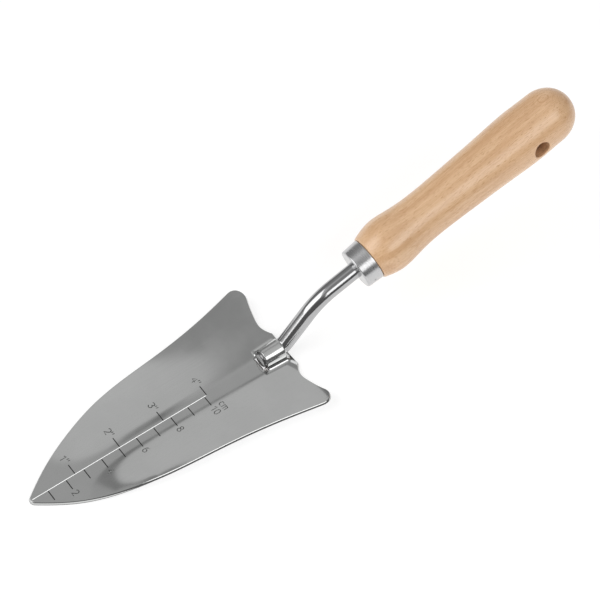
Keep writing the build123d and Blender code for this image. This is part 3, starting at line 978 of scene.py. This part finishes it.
def beech(name, light, dark, rough):
    """Steamed beech: growth bands along the handle, short ray flecks, fine pores, a satin oil finish."""
    material, tree, shader = new_material(name, Specular_IOR_Level=0.85)
    turn = (0, radians(HANDLE_SLOPE), 0)

    def grain(along, across, detail, roughness=0.5, distortion=0.0):
        """Noise drawn out along the wood."""
        vector = object_space(tree, turn, (along, across, across))
        return noise_node(vector, 1.0, detail, roughness, distortion)

    warp, bands = grain(0.012, 0.05, 2.0), grain(0.010, 0.30, 4.0, 0.62, 0.5)
    streaks, flecks, pores = grain(0.05, 2.2, 3.0, 0.6), grain(0.36, 3.4, 1.0), grain(0.6, 7.0, 2.0)
    deep = tuple(c * k for c, k in zip(dark, (0.80, 0.70, 0.58)))
    colour = light
    for pattern, low, high, amount, stain in (
            (bands, 0.38, 0.64, 1.0, dark), (warp, 0.4, 0.62, 0.45, tuple(c * 1.07 for c in light)),
            (streaks, 0.54, 0.74, 0.42, deep), (flecks, 0.59, 0.69, 0.8, deep),
            (pores, 0.60, 0.74, 0.3, deep)):
        colour = mix_colour(remap(pattern, low, high, 0.0, amount), colour, stain)
    # a small knot near the handle's end, with rings round it and darker grain behind it
    x, y, _ = new_node(tree, "SeparateXYZ", object_space(tree, turn)).outputs
    face = place([(FERRULE_FRONT[0], 0, FERRULE_FRONT[1])])[0] * 1000
    face_at = face[0] * cos(turn[1]) + face[2] * sin(turn[1])
    off_x = calc("DIVIDE", calc("SUBTRACT", x, face_at + KNOT_AT[0]), KNOT_STRETCH)
    off_y = calc("SUBTRACT", y, KNOT_AT[1])
    away = calc("SQRT", plus(times(off_x, off_x), times(off_y, off_y)))
    wobble = times(noise_node(object_space(tree, turn), 0.5, 2.0), KNOT_WOBBLE)
    waves = calc("SINE", plus(times(away, KNOT_RINGS), wobble))
    rings = times(remap(waves, 0.2, 1.0), remap(away, *KNOT_FADE, 0.55, 0.0))
    end = times(remap(x, face_at + END_GRAIN_FROM, face_at + HANDLE_END),
                remap(streaks, 0.42, 0.62, 0.0, 0.75))
    for amount in (rings, end):
        colour = mix_colour(amount, colour, deep)
    gloss = remap(streaks, 0.3, 0.7, rough - 0.05, rough + 0.07)
    relief = plus(pores, times(streaks, 0.8))
    connect(shader, Base_Color=colour, Roughness=gloss, Normal=bump_node(relief, 0.25, 0.00006))
    return material


# ---------------- studio
def make_world():
    """Soft studio surroundings: a pale ceiling with darker bands, dim walls and one pale side wall."""
    world = bpy.data.worlds.new("studio")
    bpy.context.scene.world = world
    world.use_nodes = True
    tree = world.node_tree
    ray = tree.nodes.new("ShaderNodeTexCoord").outputs["Generated"]
    x, y, z = new_node(tree, "SeparateXYZ", ray).outputs

    def band(value, low, high, soft):
        """1 between low and high, fading to 0 over soft outside them."""
        return times(remap(value, low - soft, low), remap(value, high, high + soft, 1.0, 0.0))

    def blend(amount, under, over):
        """under where amount is 0, over where it is 1."""
        return plus(under, times(amount, calc("SUBTRACT", over, under)))

    height = calc("MAXIMUM", z, 0.05)
    ahead, aside = calc("DIVIDE", x, height), calc("DIVIDE", y, height)
    bearing = calc("ARCTAN2", y, x)
    wall = plus(remap(y, -0.4, 0.6, *WALL), remap(z, 0.55, 0.95, 0.0, WALL_TOP))
    fill_at = direction(*FILL[:2])
    facing = plus(plus(times(x, fill_at.x), times(y, fill_at.y)), times(z, fill_at.z))
    halo = remap(facing, 0.78, 0.93, 0.0, HALO)
    beside = times(band(bearing, *(radians(v) for v in BESIDE_AT)), remap(z, 0.5, 0.62))
    wall = blend(beside, plus(wall, halo), BESIDE)
    ceiling = remap(aside, -0.35, 0.3, CEILING_NEAR, CEILING)
    dim = times(remap(ahead, *DIM_EDGE), band(aside, *DIM_ASIDE))
    behind = times(remap(ahead, -0.15, 0.0, 1.0, 0.0), remap(aside, 0.05, 0.2, 1.0, 0.0))
    ceiling = blend(calc("MAXIMUM", dim, behind), ceiling, DIM)
    ceiling = plus(ceiling, times(behind, halo))
    ceiling = blend(band(aside, *REAR_ASIDE), ceiling, REAR_CEILING)
    gap = times(band(ahead, *GAP_AHEAD), band(aside, *GAP_ASIDE))
    ceiling = blend(gap, ceiling, GAP)
    over = times(remap(aside, PANEL_EDGE - 0.01, PANEL_EDGE + 0.01, 1.0, 0.0), remap(z, 0.70, 0.80))
    sky = blend(over, wall, ceiling)
    # the pale side wall, with a dark seam along its top, its front and its far side
    side = remap(z, 0.45, 0.62, *(radians(v) for v in PANEL_SIDE))
    slant = plus(ahead, times(aside, FRONT_SLANT))
    depth = 0.0001
    for value, start, width in ((aside, PANEL_EDGE, SEAM_TOP), (slant, PANEL_FRONT, SEAM_FRONT),
                                (calc("SUBTRACT", side, bearing), 0.0, SEAM_SIDE)):
        within = calc("MAXIMUM", calc("SUBTRACT", value, start), width * 0.001)
        depth = plus(depth, calc("DIVIDE", width, within))
    depth = calc("DIVIDE", 1.0, depth)
    in_front = remap(z, 0.0, 0.1)
    panel = times(remap(depth, 0.65, 1.1), in_front)
    seam = times(band(depth, 0.25, 0.70, 0.2), in_front)
    sky = blend(seam, blend(panel, sky, PANEL), SEAM)
    connect(tree.nodes["Background"], Color=sky)


def direction(bearing, elevation):
    """Unit direction from a bearing and an elevation in degrees."""
    b, e = radians(bearing), radians(elevation)
    return Vector((cos(b) * cos(e), sin(b) * cos(e), sin(e)))


def add_light(name, bearing, elevation, distance, width, height, radiance):
    """Softbox that faces the trowel."""
    light = bpy.data.lights.new(name, "AREA")
    light.shape = "RECTANGLE"
    light.size, light.size_y = width, height
    light.energy = radiance * pi * width * height
    lamp = bpy.data.objects.new(name, light)
    toward = direction(bearing, elevation)
    lamp.location = toward * distance
    lamp.rotation_euler = toward.to_track_quat("Z", "Y").to_euler()
    bpy.context.scene.collection.objects.link(lamp)


def make_floor():
    """Wide matt table top with a faint paper tooth."""
    material, tree, shader = new_material(
        "white_table", Roughness=0.9, Specular_IOR_Level=0.2,
        Emission_Color=(1.0, 1.0, 1.0, 1.0), Emission_Strength=FLOOR_GLOW)
    tooth = noise_node(object_space(tree), 0.6, 2.0)
    colour = mix_colour(tooth, FLOOR, tuple(c * 0.985 for c in FLOOR))
    connect(shader, Base_Color=colour)
    size, parts = 6.0, 12
    ticks = np.linspace(-size, size, parts + 1)
    points = [(float(px), float(py), 0.0) for py in ticks for px in ticks]
    faces = []
    for row in range(parts):
        faces += ring_faces(row * (parts + 1), (row + 1) * (parts + 1), parts + 1, closed=False)
    mesh = bpy.data.meshes.new("table_top")
    mesh.from_pydata(points, [], faces)
    mesh.materials.append(material)
    floor = bpy.data.objects.new("table_top", mesh)
    bpy.context.scene.collection.objects.link(floor)


def make_camera():
    camera = bpy.data.cameras.new("camera")
    camera.lens, camera.sensor_width = LENS, 36.0
    camera.clip_start = 0.01
    holder = bpy.data.objects.new("camera", camera)
    holder.location = place(CAMERA_AT)
    holder.rotation_euler = [radians(v) for v in CAMERA_TURN]
    bpy.context.scene.collection.objects.link(holder)
    bpy.context.scene.camera = holder


# ---------------- the scene
EVEN = (1.5, 1.5, 1.5)
blade_steel = steel("blade_steel", (0.62, 0.625, 0.62), (0.05, 0.08, 0.02), 0.08, (0.03, 1.6, 1.6), 0.03)
strap_steel = steel("strap_steel", (0.62, 0.625, 0.62), (0.14, 0.2, 0.04), 0.12, (0.3, 1.2, 1.2), 0.04)
etched_steel = steel("etched_line", (0.26, 0.265, 0.26), (0.25, 0.35, 0.1), 0.3, EVEN, 0.3)
# dark cut steel: dull cut sheet, painted near black as shade under the sheet's lower edge, in the slot and
# round the strap's rims
cut_steel_shaded = steel("cut_edge_painted_shade", (0.20, 0.20, 0.20), (0.32, 0.42, 0.1), 0.3, EVEN, 0.4)
sawn_steel = steel("sawn_end", (0.26, 0.26, 0.26), (0.22, 0.30, 0.1), 0.3, EVEN, 0.3)
rod_steel = steel("rod_steel", (0.48, 0.48, 0.485), (0.09, 0.14, 0.03), 0.10, (0.1, 1.2, 1.2), 0.05)
ferrule_steel = steel("ferrule_steel", (0.58, 0.58, 0.585), (0.22, 0.29, 0.05), 0.2, (2.5, 0.12, 0.12), 0.2,
                      turn=(0, radians(HANDLE_SLOPE), 0))
weld = weld_metal()
wood = beech("beech_wood", WOOD_LIGHT, WOOD_DARK, 0.24)
# wood of the cross hole's wall, painted darker as shade inside the hole
bore_wood_shaded = beech("beech_bore_shaded", WOOD_DARK, BORE_SHADE_WOOD, 0.7)

make_blade(blade_steel, cut_steel_shaded, etched_steel)
make_strap(strap_steel, cut_steel_shaded)
make_tack(weld)
for edge_side in (-1, 1):
    make_weld_run(edge_side, weld)
make_weld_front(weld)
make_neck(rod_steel, sawn_steel)
make_ferrule(ferrule_steel)
make_handle(wood, bore_wood_shaded)
make_floor()
make_world()
add_light("key", *KEY)
add_light("fill", *FILL)
make_camera()
bpy.context.scene.view_settings.view_transform = "Standard"
